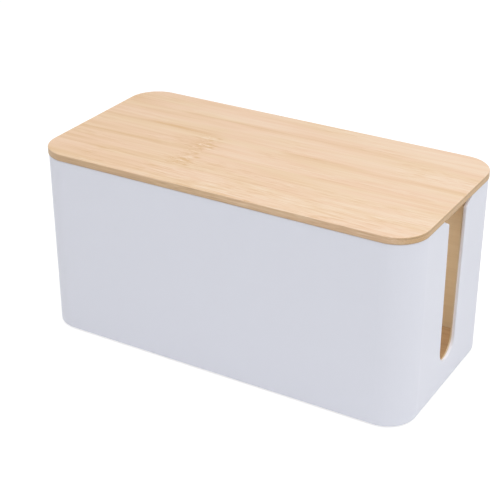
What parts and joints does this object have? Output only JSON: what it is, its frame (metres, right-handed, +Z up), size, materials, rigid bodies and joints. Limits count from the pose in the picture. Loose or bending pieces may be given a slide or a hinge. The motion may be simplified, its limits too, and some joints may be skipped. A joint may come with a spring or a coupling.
{
  "type": "cable management box",
  "caption": "White box with rounded corners, a flat lift-off bamboo lid and an open-topped cable slot in each end, lined inside, for hiding a power strip and its spare cord.",
  "frame": {"origin": "on the surface that the box stands on, under the middle of the box", "axes": "+Z up, +X along the length towards the right-hand end, -Y towards the long front"},
  "size_m": [0.236, 0.115, 0.115],
  "materials": {
    "white_plastic": "fine matte moulded white",
    "wall_lining": "thin tan wood-grain lining, matte",
    "floor_lining": "thin brown wood-grain sheet, matte",
    "bamboo": "pale bamboo, satin, grain along the length",
    "foot_rubber": "soft matte pad"
  },
  "bodies": {
    "box": {"box_shell": "white_plastic", "wall_liner": "wall_lining", "floor_liner": "floor_lining", "foot_front_left": "foot_rubber", "foot_front_right": "foot_rubber", "foot_rear_left": "foot_rubber", "foot_rear_right": "foot_rubber"},
    "lid": {"lid_board": "bamboo", "lid_batten_left": "bamboo", "lid_batten_right": "bamboo"}
  },
  "joints": [
    {"name": "lid_lift", "type": "slide", "parent": "box", "child": "lid", "axis": [0, 0, 1], "range_m": [0, 0.15]}
  ]
}
